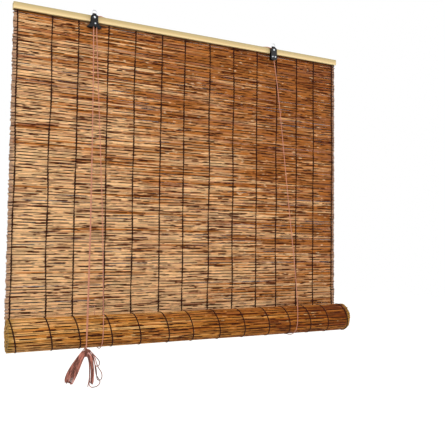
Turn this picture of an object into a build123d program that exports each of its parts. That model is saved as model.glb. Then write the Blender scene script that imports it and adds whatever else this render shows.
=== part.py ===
from build123d import *
import math
import os

os.makedirs("parts", exist_ok=True)

# A reed roll-up blind, hung by two wire bails and half rolled up. Millimetres.
# X runs along the width, -Y points into the room and +Z up. The origin lies midway
# between the two bails, at the height where each bail sits on its hook.

# Reed mat
mat_width = 1200.0
mat_thickness = 5.0
ridge_pitch = 9.6        # one ridge is a bundle of two reeds
ridge_depth = 0.9        # how far the grooves between the bundles go in
crest_start = 0.25       # share of the pitch where a bundle reaches its full thickness
gap_height = 0.7         # light shows through between the bundles
gap_end_margin = 15.0    # the bundles are closed this far from each end

# Warp strings, with the uneven spacing of hand weaving
string_width = 2.2
string_thickness = 2.0
string_inset = 15.0      # first and last string from the ends of the mat
string_gap_shares = [101, 82, 97, 90, 94, 84, 96, 94, 96, 84, 88, 77, 87]
ring_lean = 12.0         # degrees that the strings lean on the coil, rolled up a little askew
ring_end = 334.0         # degrees round the coil where its strings meet the flat part
ring_clearance = 0.15    # between the string and the crests under it

# Headrail: two strips with the top of the mat between them
batten_height = 20.0
batten_thickness = 7.0
batten_edge_radius = 1.5
nail_radius = 0.9
nail_head_radius = 2.4
nail_head_thickness = 0.8
nail_count = 9
nail_end_share = 0.05    # of the width, from each end to the first nail

# Coil of the rolled-up mat
coil_drop = 967.0        # lower edge of the battens to the axis of the coil
coil_core_radius = 14.9  # middle of the mat at its inner end
coil_turn_pitch = 7.0    # mat and strings, from one turn to the next
coil_mat_length = 1000.0
coil_end_clearance = 0.3

# Pulley cages, each one folded strip of steel
sheet = 1.0
cage_inside = 10.0       # between the two cheeks
left_cage_share = -0.2975    # of the width, from the middle of the blind
right_cage_share = 0.2575
neck_width = 10.0
shoulder_width = 22.0
neck_straight = 0.5      # straight sides under the fold
shoulder_drop = 4.0
shoulder_bulge = 1.8
shoulder_round = 1.2
shoulder_slope = 1.5
waist_drop = 2.0         # below the lower edge of the battens
right_foot_width = 26.0
right_corner = 6.0
left_skirt_width = 46.0
skirt_hollow = 3.2
skirt_hollow_drop = 9.0
left_arch_half = 9.0     # arch between the two feet of the left cage
left_arch_rise = 3.0
left_toe = 3.5
left_toe_slant = 1.0
bail_seat_to_batten = 14.0   # hanging height above the top of the battens
neck_length = 7.0
left_cage_drop = 22.0    # below the lower edge of the battens
right_cage_drop = 26.0
axle_below_batten_top = 9.0
lock_exit_offset = -1.5  # where the cords leave the lock, from the middle of the left cage
lock_bend_height = 8.0   # above the feet
jaw_shares = (0.50, 0.98)    # of the run that the jaw lies along

# Wheels, axles and pins
wheel_rim_radius = 9.0
wheel_cord_radius = 7.5  # to the middle of the cord in its groove
groove_offset = 2.35     # each of the two grooves from the middle of the wheel
groove_clearance = 0.1
groove_bottom_half = 1.0
groove_rim_half = 1.9
wheel_side_clearance = 0.3
axle_radius = 2.0
axle_running_clearance = 0.06
axle_head_radius = 3.6
axle_head_height = 1.8
nut_across = 7.0
nut_thickness = 2.4
nut_clearance = 0.05
screw_end_inset = 0.4    # behind the face against the wall
pin_radius = 1.5
pin_head_radius = 2.8
pin_head_height = 1.3
pin_tail = 0.8
guide_pin_spacing = 11.0
guide_pin_drop = 14.5    # below the lower edge of the battens
cam_pin_offset = 2.0
cam_pin_drop = 8.5
cam_thickness = 8.6
cam_teeth = 5
cam_nose_spread = 56.0   # degrees of the toothed nose
cam_tooth_depth = 0.45

# Bails
bail_wire = 2.2
bail_half_width = 7.4
bail_corner_radius = 2.6
bail_leg_drop = 5.0      # straight sides below the arch
bail_play = 0.15

# Cords
cord_diameter = 2.5
cord_clearance = 0.4
cord_end_clearance = 0.15
arc_share = 0.45         # of the shorter run at a corner that its arc takes
anchor_straight = 12.0   # below the battens, behind the mat
left_guide_drop = 6.0    # below the left cage
wheel_corners = 4        # corners of the cord round the left wheel
left_anchor_offset = 21.0    # each from its cage, to the right
left_back_offset = 25.8      # where the cord comes down to the coil behind
left_front_offset = 25.8     # and where it leaves the coil in front
right_anchor_offset = 13.0
right_back_offset = 43.0
right_front_offset = 58.0
loop_corners = 4         # corners of each cord under the coil
left_bows = [(0.14, 1.4, -1.0), (0.35, 4.9, 0.0), (0.66, 2.9, 1.0), (0.90, 0.6, 0.6)]
right_bows = [(0.15, 3.9, -1.0), (0.38, 4.0, 0.0), (0.58, 5.6, 1.0), (0.883, 7.6, 0.8)]
right_back_bows = [(0.24, -6.0, 0.0), (0.62, -4.4, 0.2)]
cross_clearance = 0.1    # under the cord that crosses on top of the battens
cross_step = 12.0        # of its way from a wheel up onto the battens
cross_shares = (1.0, 2.0, 3.5)
cross_entry_y = 2.6
cross_edge_y = 0.6       # in front of the batten
cross_drift = 0.5
knot_radius = 3.1
knot_outline = [(0.8, 0.0), (1.0, 0.7), (0.6, 1.5), (0.0, 1.7)]    # shares of its radius
guide_arc_room = 1.6     # the cord's bend at the guide pins stays this far off its corner
guide_corner_rise = 1.0
pull_offset = -24.6      # where the pull cords cross the axis of the coil, from the left cage
pull_spacing = 3.2
pull_clearance = 0.6     # in front of the lift cords
pull_bows = [(0.13, 2.4, 1.0), (0.35, 3.7, 1.8), (0.66, 4.3, 1.2), (0.85, 2.0, 0.2)]

# Hank below the coil, hung over its tie. Each section: across, down, half width, half depth
hank_drop = 41.0         # axis of the coil to the top of the tie
hank_offset = -2.0       # from where the pull cords cross the axis of the coil
hank_sides = 8
tie_width = 4.5
neck_half_length = 3.0
neck_half_width = 13.0
neck_half_depth = 6.2
left_lobe = [
    (-9.0, 10.0, 12.0, 6.5),
    (-19.0, 26.0, 13.0, 6.5),
    (-31.0, 44.0, 15.0, 6.5),
    (-41.0, 62.0, 16.5, 6.5),
    (-46.0, 79.0, 11.0, 5.5),
]
right_lobe = [
    (9.0, 10.0, 10.0, 6.2),
    (15.0, 29.0, 7.5, 6.0),
    (17.0, 49.0, 6.5, 6.0),
    (17.5, 74.0, 6.8, 6.0),
    (17.0, 99.0, 5.5, 5.0),
]

# Worked out from the sizes above
string_span = mat_width - 2 * string_inset
string_x = [-mat_width / 2 + string_inset]
for share in string_gap_shares:
    string_x.append(string_x[-1] + share * string_span / sum(string_gap_shares))

batten_length = mat_width
left_cage_x = left_cage_share * mat_width
right_cage_x = right_cage_share * mat_width
left_anchor_x = left_cage_x + left_anchor_offset
left_back_x = left_cage_x + left_back_offset
left_front_x = left_cage_x + left_front_offset
right_anchor_x = right_cage_x + right_anchor_offset
right_back_x = right_cage_x + right_back_offset
right_front_x = right_cage_x + right_front_offset
pull_x = left_cage_x + pull_offset

cheek_outer = cage_inside / 2 + sheet
batten_front_y = cheek_outer
string_front_y = batten_front_y + batten_thickness
mat_front_y = string_front_y + string_thickness
mat_back_y = mat_front_y + mat_thickness
mat_mid_y = (mat_front_y + mat_back_y) / 2
batten_back_y = mat_back_y + string_thickness
wall_y = batten_back_y + batten_thickness

outer_middle = math.sqrt(coil_core_radius**2 + coil_mat_length * coil_turn_pitch / math.pi)
coil_radius = outer_middle + mat_thickness / 2

batten_top = -bail_seat_to_batten
batten_bottom = batten_top - batten_height
axle_z = batten_top - axle_below_batten_top
coil_z = batten_bottom - coil_drop
coil_y = mat_back_y - coil_radius
mat_bottom = coil_z + coil_end_clearance

cord_radius = cord_diameter / 2
loop_radius = coil_radius + string_thickness + cord_clearance + cord_radius
groove_radius = wheel_cord_radius - cord_radius - groove_clearance
wheel_width = cage_inside - 2 * wheel_side_clearance


def keep(part, name):
    """Label a finished piece and write it to its own file."""
    part.label = name
    export_step(part, f"parts/{name}.step")


def turn_at(before, corner, after):
    """The angle in degrees by which a route turns at a corner."""
    return (Vector(*corner) - Vector(*before)).get_angle(Vector(*after) - Vector(*corner))


def corner_radii(route):
    """A radius for each inner corner, as large as its two runs allow."""
    radii = []
    for index in range(1, len(route) - 1):
        before, corner, after = route[index - 1:index + 2]
        turn = turn_at(before, corner, after)
        runs = [(Vector(*corner) - Vector(*before)).length, (Vector(*after) - Vector(*corner)).length]
        radii.append(arc_share * min(runs) / math.tan(math.radians(turn / 2)))
    return radii


def cord_tube(route, name):
    """Sweep a round cord along straight runs joined by tangent arcs."""
    radii = corner_radii(route)
    with BuildPart() as tube:
        with BuildLine() as path:
            FilletPolyline(*route, radius=radii)
        middle_line = path.wires()[0]
        with BuildSketch(Plane(origin=middle_line @ 0, z_dir=middle_line % 0)):
            Circle(cord_radius)
        sweep(path=middle_line)
    expected = math.pi * cord_radius**2 * middle_line.length
    print(f"{name}: {middle_line.length:.0f} mm long, radii {[round(r, 1) for r in radii]}")
    print(f"{name}: volume {tube.part.volume:.1f}, section times length {expected:.1f}")
    keep(tube.part, name)


def round_corners(middle, radius, start, end, count):
    """Corners of the runs that lie around a circle, from one angle to another, in degrees."""
    step = (end - start) / count
    reach = radius / math.cos(math.radians(step / 2))
    corners = []
    for index in range(count):
        angle = math.radians(start + (index + 0.5) * step)
        corners.append((middle[0] + reach * math.cos(angle), middle[1] + reach * math.sin(angle)))
    return corners


def tangent_angle(middle, radius, point, side):
    """The angle on a circle, in degrees, where a line from a point touches it."""
    offset = (point[0] - middle[0], point[1] - middle[1])
    away = math.acos(radius / math.hypot(*offset))
    return math.degrees(math.atan2(offset[1], offset[0]) + side * away)


# Reed mat, flat part: bundles side by side, closed at both ends, with gaps between them
ridge_count = round((batten_top - mat_bottom) / ridge_pitch)
flat_pitch = (batten_top - mat_bottom) / ridge_count
nail_span = batten_length * (1 - 2 * nail_end_share)
nail_z = (batten_top + batten_bottom) / 2

front_outline = []
back_outline = []
for index in range(ridge_count):
    upper = batten_top - index * flat_pitch
    crest_top, crest_end = upper - crest_start * flat_pitch, upper - (1 - crest_start) * flat_pitch
    front_outline += [
        (mat_front_y + ridge_depth, upper), (mat_front_y, crest_top), (mat_front_y, crest_end)
    ]
    back_outline += [(mat_back_y - ridge_depth, upper), (mat_back_y, crest_top), (mat_back_y, crest_end)]
last_z = batten_top - ridge_count * flat_pitch
front_outline.append((mat_front_y + ridge_depth, last_z))
back_outline.append((mat_back_y - ridge_depth, last_z))

with BuildPart() as flat_mat:
    with BuildSketch(Plane.YZ.offset(-mat_width / 2)):
        with BuildLine():
            Polyline(*front_outline, *reversed(back_outline), close=True)
        make_face()
    extrude(amount=mat_width)
    gap_rows = [
        (0, mat_mid_y, batten_top - index * flat_pitch)
        for index in range(1, ridge_count)
        if batten_top - index * flat_pitch < batten_bottom
    ]
    with Locations(*gap_rows):
        Box(mat_width - 2 * gap_end_margin, mat_thickness, gap_height, mode=Mode.SUBTRACT)
    with BuildSketch(Plane.XZ.offset(-wall_y)):
        with Locations((0, nail_z)):
            with GridLocations(nail_span / (nail_count - 1), 0, nail_count, 1):
                Circle(nail_radius)
        with Locations((left_cage_x, axle_z), (right_cage_x, axle_z)):
            Circle(axle_radius)
    extrude(amount=wall_y, mode=Mode.SUBTRACT)
keep(flat_mat.part, "flat_mat")
print("flat mat", flat_mat.part.volume, len(flat_mat.part.solids()), ridge_count, len(gap_rows))

# Warp strings on the flat part: a strand on each face of the mat
for number, x in enumerate(string_x, start=1):
    with BuildPart() as warp_string:
        for strand_y in (string_front_y, mat_back_y):
            with BuildSketch(Plane.XY.offset(batten_top)):
                with Locations((x, strand_y + string_thickness / 2)):
                    Rectangle(string_width, string_thickness)
            extrude(amount=mat_bottom - batten_top)
    keep(warp_string.part, f"warp_string_{number:02d}")

# Front and back battens, with holes for the nails and for the axle screws
with BuildPart() as front_batten:
    with BuildSketch(Plane.YZ.offset(-batten_length / 2)):
        with Locations((batten_front_y, batten_bottom)):
            Rectangle(batten_thickness, batten_height, align=(Align.MIN, Align.MIN))
    extrude(amount=batten_length)
    room_edges = front_batten.edges().filter_by(Axis.X).group_by(Axis.Y)[0]
    fillet(room_edges, radius=batten_edge_radius)
    with BuildSketch(Plane.XZ.offset(-string_front_y)):
        with Locations((0, nail_z)):
            with GridLocations(nail_span / (nail_count - 1), 0, nail_count, 1):
                Circle(nail_radius)
    extrude(amount=batten_thickness / 2, mode=Mode.SUBTRACT)
    with BuildSketch(Plane.XZ.offset(-string_front_y)):
        with Locations((left_cage_x, axle_z), (right_cage_x, axle_z)):
            Circle(axle_radius)
    extrude(amount=batten_thickness, mode=Mode.SUBTRACT)
keep(front_batten.part, "front_batten")

anchor_y = (batten_back_y + wall_y) / 2
nut_recess = nut_thickness + axle_running_clearance
with BuildPart() as back_batten:
    with BuildSketch(Plane.YZ.offset(-batten_length / 2)):
        with Locations((batten_back_y, batten_bottom)):
            Rectangle(batten_thickness, batten_height, align=(Align.MIN, Align.MIN))
    extrude(amount=batten_length)
    with BuildSketch(Plane.XZ.offset(-wall_y)):
        with Locations((0, nail_z)):
            with GridLocations(nail_span / (nail_count - 1), 0, nail_count, 1):
                Circle(nail_radius)
        with Locations((left_cage_x, axle_z), (right_cage_x, axle_z)):
            Circle(axle_radius)
    extrude(amount=batten_thickness, mode=Mode.SUBTRACT)
    with BuildSketch(Plane.XZ.offset(-wall_y)):
        with Locations((0, nail_z)):
            with GridLocations(nail_span / (nail_count - 1), 0, nail_count, 1):
                Circle(nail_head_radius)
    extrude(amount=nail_head_thickness, mode=Mode.SUBTRACT)
    with BuildSketch(Plane.XZ.offset(-wall_y)):
        with Locations((left_cage_x, axle_z), (right_cage_x, axle_z)):
            RegularPolygon(nut_across / 2, 4, major_radius=False, rotation=45)
    extrude(amount=nut_recess, mode=Mode.SUBTRACT)
    with BuildSketch(Plane.XY.offset(batten_bottom)):
        with Locations((left_anchor_x, anchor_y), (right_anchor_x, anchor_y)):
            Circle(cord_radius)
    extrude(amount=batten_height, mode=Mode.SUBTRACT)
keep(back_batten.part, "back_batten")

# Nails through the back batten and the mat, into the front batten
nail_length = wall_y - string_front_y + batten_thickness / 2
with BuildPart() as batten_nails:
    with BuildSketch(Plane.XZ.offset(-wall_y)):
        with Locations((0, nail_z)):
            with GridLocations(nail_span / (nail_count - 1), 0, nail_count, 1):
                Circle(nail_radius)
    extrude(amount=nail_length)
    with BuildSketch(Plane.XZ.offset(-wall_y)):
        with Locations((0, nail_z)):
            with GridLocations(nail_span / (nail_count - 1), 0, nail_count, 1):
                Circle(nail_head_radius)
    extrude(amount=nail_head_thickness)
keep(batten_nails.part, "batten_nails")

# Coil: the rest of the mat wound inwards from the back of the flat part, going down first
def coil_middle(angle):
    """Radius to the middle of the mat after winding through an angle in radians."""
    return outer_middle - coil_turn_pitch * angle / (2 * math.pi)


def coil_point(radius, angle, lean=1.0):
    """A point in the coil's own section, from the radius and the angle wound."""
    return (radius * math.cos(angle), -radius * math.sin(angle) / lean)


coil_ridges = round(coil_mat_length / ridge_pitch)
coil_angles = [0.0]
for index in range(4 * coil_ridges):
    coil_angles.append(coil_angles[-1] + ridge_pitch / 4 / coil_middle(coil_angles[-1]))

coil_faces = {1: [], -1: []}
for index, angle in enumerate(coil_angles):
    if index % 4 != 2:
        half = mat_thickness / 2 - (ridge_depth if index % 4 == 0 else 0.0)
        for face in (1, -1):
            coil_faces[face].append(coil_point(coil_middle(angle) + face * half, angle))

with BuildPart() as mat_coil:
    with BuildSketch(Plane(origin=(-mat_width / 2, coil_y, coil_z), x_dir=(0, 1, 0), z_dir=(1, 0, 0))):
        with BuildLine():
            Polyline(*coil_faces[1], *reversed(coil_faces[-1]), close=True)
        make_face()
    extrude(amount=mat_width)
keep(mat_coil.part, "mat_coil")
print("coil", mat_coil.part.volume, len(mat_coil.part.solids()), coil_angles[-1] / 2 / math.pi)

# String rings: the outer strand of each warp string around the coil, leaning a little
lean = math.cos(math.radians(ring_lean))
crest_angles = [a for a in coil_angles[2::8] if a < math.radians(ring_end)]
crest_step = crest_angles[-1] - crest_angles[-2]
crest_lift = coil_radius * (1 - math.cos(crest_step / 2)) + ring_clearance

for number, x in enumerate(string_x, start=1):
    ring_plane = Plane(
        origin=(x, coil_y, coil_z),
        x_dir=(0, 1, 0),
        z_dir=(lean, 0, math.sin(math.radians(ring_lean))),
    )
    with BuildPart() as string_ring:
        with BuildSketch(ring_plane.offset(-string_width / 2)):
            with BuildLine():
                inner = [
                    coil_point(coil_middle(a) + mat_thickness / 2 + crest_lift, a, lean)
                    for a in crest_angles
                ]
                outer = [
                    coil_point(coil_middle(a) + mat_thickness / 2 + crest_lift + string_thickness, a, lean)
                    for a in crest_angles
                ]
                Polyline(*inner, *reversed(outer), close=True)
            make_face()
        extrude(amount=string_width)
    keep(string_ring.part, f"string_ring_{number:02d}")

# Bails: closed loops of wire that the hooks go through
arch_z = bail_wire / 2 - bail_half_width
bail_leg_z = arch_z - bail_leg_drop


def bail(x, name):
    """A wire loop with an arched top and a straight leg through the neck of its cage."""
    straight = bail_half_width - bail_corner_radius
    with BuildPart() as loop:
        with BuildLine(Plane.XZ) as wire:
            Line((x - straight, bail_leg_z), (x + straight, bail_leg_z))
            RadiusArc(
                (x + straight, bail_leg_z),
                (x + bail_half_width, bail_leg_z + bail_corner_radius),
                -bail_corner_radius,
            )
            Line((x + bail_half_width, bail_leg_z + bail_corner_radius), (x + bail_half_width, arch_z))
            ThreePointArc(
                (x + bail_half_width, arch_z),
                (x, arch_z + bail_half_width),
                (x - bail_half_width, arch_z),
            )
            Line((x - bail_half_width, arch_z), (x - bail_half_width, bail_leg_z + bail_corner_radius))
            RadiusArc(
                (x - bail_half_width, bail_leg_z + bail_corner_radius),
                (x - straight, bail_leg_z),
                -bail_corner_radius,
            )
        with BuildSketch(Plane(origin=(x, 0, bail_leg_z), z_dir=(1, 0, 0))):
            Circle(bail_wire / 2)
        sweep(path=wire.wires()[0])
    keep(loop.part, name)
    print(name, loop.part.volume, len(loop.part.solids()))


bail(left_cage_x, "left_bail")
bail(right_cage_x, "right_bail")

# Pulley cages: a strip folded over the bail's leg into two cheeks
fold_under = bail_leg_z + bail_wire / 2 + bail_play
fold_z = fold_under - cage_inside / 2
neck_end_z = fold_z - neck_straight
shoulder_z = fold_z - shoulder_drop
waist_z = batten_bottom - waist_drop
left_foot_z = batten_bottom - left_cage_drop
right_foot_z = batten_bottom - right_cage_drop
cam_pin_x = left_cage_x + cam_pin_offset
cam_pin_z = batten_bottom - cam_pin_drop
guide_pin_z = batten_bottom - guide_pin_drop


def left_cheek_outline(x):
    """Shoulders, a waist and a skirt that flares to two feet with an arch between them."""
    neck, shoulder, skirt = neck_width / 2, shoulder_width / 2, left_skirt_width / 2
    Polyline((x - neck, fold_z), (x + neck, fold_z), (x + neck, neck_end_z))
    ThreePointArc(
        (x + neck, neck_end_z),
        (x + shoulder - shoulder_round, shoulder_z + shoulder_bulge),
        (x + shoulder, shoulder_z - shoulder_slope),
    )
    Line((x + shoulder, shoulder_z - shoulder_slope), (x + shoulder, waist_z))
    ThreePointArc(
        (x + shoulder, waist_z),
        (x + shoulder + skirt_hollow, waist_z - skirt_hollow_drop),
        (x + skirt, left_foot_z + left_toe),
    )
    Polyline(
        (x + skirt, left_foot_z + left_toe),
        (x + skirt - left_toe_slant, left_foot_z),
        (x + left_arch_half, left_foot_z),
    )
    ThreePointArc(
        (x + left_arch_half, left_foot_z),
        (x, left_foot_z + left_arch_rise),
        (x - left_arch_half, left_foot_z),
    )
    Polyline(
        (x - left_arch_half, left_foot_z),
        (x - skirt + left_toe_slant, left_foot_z),
        (x - skirt, left_foot_z + left_toe),
    )
    ThreePointArc(
        (x - skirt, left_foot_z + left_toe),
        (x - shoulder - skirt_hollow, waist_z - skirt_hollow_drop),
        (x - shoulder, waist_z),
    )
    Line((x - shoulder, waist_z), (x - shoulder, shoulder_z - shoulder_slope))
    ThreePointArc(
        (x - shoulder, shoulder_z - shoulder_slope),
        (x - shoulder + shoulder_round, shoulder_z + shoulder_bulge),
        (x - neck, neck_end_z),
    )
    Line((x - neck, neck_end_z), (x - neck, fold_z))


def right_cheek_outline(x):
    """Shoulders and nearly straight sides that end in rounded corners."""
    neck, shoulder, foot = neck_width / 2, shoulder_width / 2, right_foot_width / 2
    Polyline((x - neck, fold_z), (x + neck, fold_z), (x + neck, neck_end_z))
    ThreePointArc(
        (x + neck, neck_end_z),
        (x + shoulder - shoulder_round, shoulder_z + shoulder_bulge),
        (x + shoulder, shoulder_z - shoulder_slope),
    )
    Line((x + shoulder, shoulder_z - shoulder_slope), (x + foot, right_foot_z + right_corner))
    RadiusArc(
        (x + foot, right_foot_z + right_corner),
        (x + foot - right_corner, right_foot_z),
        right_corner,
    )
    Line((x + foot - right_corner, right_foot_z), (x - foot + right_corner, right_foot_z))
    RadiusArc(
        (x - foot + right_corner, right_foot_z),
        (x - foot, right_foot_z + right_corner),
        right_corner,
    )
    Line((x - foot, right_foot_z + right_corner), (x - shoulder, shoulder_z - shoulder_slope))
    ThreePointArc(
        (x - shoulder, shoulder_z - shoulder_slope),
        (x - shoulder + shoulder_round, shoulder_z + shoulder_bulge),
        (x - neck, neck_end_z),
    )
    Line((x - neck, neck_end_z), (x - neck, fold_z))


def cage(x, outline, pin_places, jaw, name):
    """Two cheeks of one outline, joined by the fold, with holes for the axle and the pins."""
    with BuildPart() as folded:
        for back_face_y in (-cage_inside / 2, cheek_outer):
            with BuildSketch(Plane.XZ.offset(-back_face_y)):
                with BuildLine():
                    outline(x)
                make_face()
                with Locations((x, axle_z)):
                    Circle(axle_radius, mode=Mode.SUBTRACT)
                with Locations(*pin_places):
                    Circle(pin_radius, mode=Mode.SUBTRACT)
            extrude(amount=sheet)
        with BuildSketch(Plane.YZ.offset(x - neck_width / 2)):
            with Locations((0, fold_z)):
                Circle(cheek_outer)
                Circle(cage_inside / 2, mode=Mode.SUBTRACT)
                Rectangle(
                    3 * cage_inside, 2 * cage_inside, align=(Align.CENTER, Align.MAX), mode=Mode.SUBTRACT
                )
        extrude(amount=neck_width)
        if jaw:
            with BuildSketch(Plane.XZ.offset(-cage_inside / 2)):
                with BuildLine():
                    Polyline(*jaw, close=True)
                make_face()
            extrude(amount=cage_inside)
    keep(folded.part, name)
    print(name, folded.part.volume, len(folded.part.solids()))


# The run that comes down from the left wheel to the lock, which the jaw lies along
lock_top = (left_cage_x - wheel_cord_radius, axle_z)
lock_exit_x = left_cage_x + lock_exit_offset
lock_bend_z = left_foot_z + lock_bend_height
lock_run = Vector(lock_exit_x - lock_top[0], lock_bend_z - lock_top[1])
lock_side = Vector(lock_run.Y, -lock_run.X).normalized()
jaw_distance = cord_radius + cord_clearance


def beside_lock_run(share, distance):
    """A point beside the run to the lock, at a share of its length and a distance to its left."""
    place = Vector(*lock_top) + lock_run * share + lock_side * distance
    return (place.X, place.Y)


jaw_outline = [
    beside_lock_run(jaw_shares[0], jaw_distance),
    beside_lock_run(jaw_shares[1], jaw_distance),
    beside_lock_run(jaw_shares[1], jaw_distance + sheet),
    beside_lock_run(jaw_shares[0], jaw_distance + sheet),
]
guide_pin_places = [
    (right_cage_x - guide_pin_spacing / 2, guide_pin_z),
    (right_cage_x + guide_pin_spacing / 2, guide_pin_z),
]
cage(left_cage_x, left_cheek_outline, [(cam_pin_x, cam_pin_z)], jaw_outline, "left_cage")
cage(right_cage_x, right_cheek_outline, guide_pin_places, None, "right_cage")

# Wheels with two cord grooves
bore = axle_radius + axle_running_clearance
for wheel_x, name in ((left_cage_x, "left_wheel"), (right_cage_x, "right_wheel")):
    with BuildPart() as wheel:
        with BuildSketch(Plane.XY.offset(axle_z)):
            with BuildLine():
                rim = wheel_x + wheel_rim_radius
                bottom = wheel_x + groove_radius
                groove_points = []
                for middle in (-groove_offset, groove_offset):
                    groove_points += [
                        (rim, middle - groove_rim_half), (bottom, middle - groove_bottom_half),
                        (bottom, middle + groove_bottom_half), (rim, middle + groove_rim_half),
                    ]
                Polyline(
                    (wheel_x + bore, -wheel_width / 2),
                    (rim, -wheel_width / 2),
                    *groove_points,
                    (rim, wheel_width / 2),
                    (wheel_x + bore, wheel_width / 2),
                    close=True,
                )
            make_face()
        revolve(axis=Axis((wheel_x, 0, axle_z), (0, 1, 0)))
    keep(wheel.part, name)
    print(name, wheel.part.volume, len(wheel.part.solids()))


def headed_pin(part_name, places, shank, head, height, back_y):
    """Pins along Y with a domed head on the front cheek, one solid for each place."""
    dome = (head**2 + height**2) / (2 * height)
    half = math.asin(head / dome) / 2
    with BuildPart() as pins:
        for x, z in places:
            with BuildSketch(Plane.XY.offset(z)):
                with BuildLine():
                    Polyline(
                        (x, -cheek_outer - height),
                        (x, back_y),
                        (x + shank, back_y),
                        (x + shank, -cheek_outer),
                        (x + head, -cheek_outer),
                    )
                    ThreePointArc(
                        (x + head, -cheek_outer),
                        (x + dome * math.sin(half), -cheek_outer - height + dome * (1 - math.cos(half))),
                        (x, -cheek_outer - height),
                    )
                make_face()
            revolve(axis=Axis((x, 0, z), (0, 1, 0)))
    keep(pins.part, part_name)
    print(part_name, pins.part.volume, len(pins.part.solids()))


screw_end_y = wall_y - screw_end_inset
headed_pin("left_axle_screw", [(left_cage_x, axle_z)], axle_radius, axle_head_radius, axle_head_height,
           screw_end_y)
headed_pin("right_axle_screw", [(right_cage_x, axle_z)], axle_radius, axle_head_radius, axle_head_height,
           screw_end_y)
headed_pin("cam_pin", [(cam_pin_x, cam_pin_z)], pin_radius, pin_head_radius, pin_head_height,
           cheek_outer + pin_tail)
headed_pin("guide_pins", guide_pin_places, pin_radius, pin_head_radius, pin_head_height,
           cheek_outer + pin_tail)

# Square nuts on the axle screws, let into the back batten
with BuildPart() as axle_nuts:
    with BuildSketch(Plane.XZ.offset(-(wall_y - nut_recess + nut_thickness))):
        with Locations((left_cage_x, axle_z), (right_cage_x, axle_z)):
            RegularPolygon(nut_across / 2 - nut_clearance, 4, major_radius=False, rotation=45)
            Circle(axle_radius, mode=Mode.SUBTRACT)
    extrude(amount=nut_thickness)
keep(axle_nuts.part, "axle_nuts")

# Lock cam: its toothed nose presses the two pull cords against the jaw
nose_direction = math.degrees(math.atan2(lock_side.Y, lock_side.X))
run_distance = (Vector(cam_pin_x, cam_pin_z) - Vector(*lock_top)).dot(lock_side)
nose_radius = abs(run_distance) - cord_radius - cord_clearance / 2
cam_base_radius = nose_radius - 2 * cam_tooth_depth
with BuildPart() as lock_cam:
    with BuildSketch(Plane.XZ.offset(-cam_thickness / 2)):
        with Locations((cam_pin_x, cam_pin_z)):
            Circle(cam_base_radius)
        nose = [(cam_pin_x, cam_pin_z)]
        for tooth in range(2 * cam_teeth + 1):
            angle = math.radians(nose_direction + cam_nose_spread * (tooth / (2 * cam_teeth) - 0.5))
            radius = nose_radius - cam_tooth_depth * (tooth % 2)
            nose.append((cam_pin_x + radius * math.cos(angle), cam_pin_z + radius * math.sin(angle)))
        with BuildLine():
            Polyline(*nose, close=True)
        make_face()
        with Locations((cam_pin_x, cam_pin_z)):
            Circle(pin_radius + axle_running_clearance, mode=Mode.SUBTRACT)
    extrude(amount=cam_thickness)
keep(lock_cam.part, "lock_cam")
print("lock_cam", lock_cam.part.volume, len(lock_cam.part.solids()), nose_radius, nose_direction)

# Lift cords. Each is knotted above the back batten, goes down behind the mat, under the
# coil, up in front of it and over its wheel. Both leave the block through the lock.
coil_axis = (coil_y, coil_z)


def loop_under_coil(back_x, front_x, groove_y, guide_z):
    """Corners of the cord around the coil, from the back run to the front run."""
    last = tangent_angle(coil_axis, loop_radius, (groove_y, guide_z), 1) - 360
    corners = round_corners(coil_axis, loop_radius, 0.0, last, loop_corners)
    places = []
    for index, (y, z) in enumerate(corners):
        share = (index + 0.5) / loop_corners
        places.append((back_x + share * (front_x - back_x), y, z))
    return places


def over_wheel(x, groove_y, start, end, count):
    """Corners of the cord over a wheel."""
    corners = round_corners((x, axle_z), wheel_cord_radius, start, end, count)
    return [(px, groove_y, pz) for px, pz in corners]


def long_run(start, end, bows):
    """Corners of a run at shares of its length, each bowed a little to the side."""
    way = Vector(*end) - Vector(*start)
    places = []
    for share, bow_x, bow_y in bows:
        place = Vector(*start) + way * share
        places.append((place.X + bow_x, place.Y + bow_y, place.Z))
    return places


left_groove_y, right_groove_y = -groove_offset, groove_offset
lock_angle = tangent_angle((left_cage_x, axle_z), wheel_cord_radius, (lock_exit_x, lock_bend_z), -1) % 360
left_guide = (left_cage_x + wheel_cord_radius, left_groove_y, left_foot_z - left_guide_drop)
right_guide_x = right_cage_x + guide_pin_spacing / 2 - pin_radius - cord_radius - guide_arc_room
right_guide = (right_guide_x, right_groove_y, guide_pin_z + guide_corner_rise)
left_behind = (left_anchor_x, anchor_y, batten_bottom - anchor_straight)
right_behind = (right_anchor_x, anchor_y, batten_bottom - anchor_straight)
front_y = coil_y - loop_radius

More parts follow.
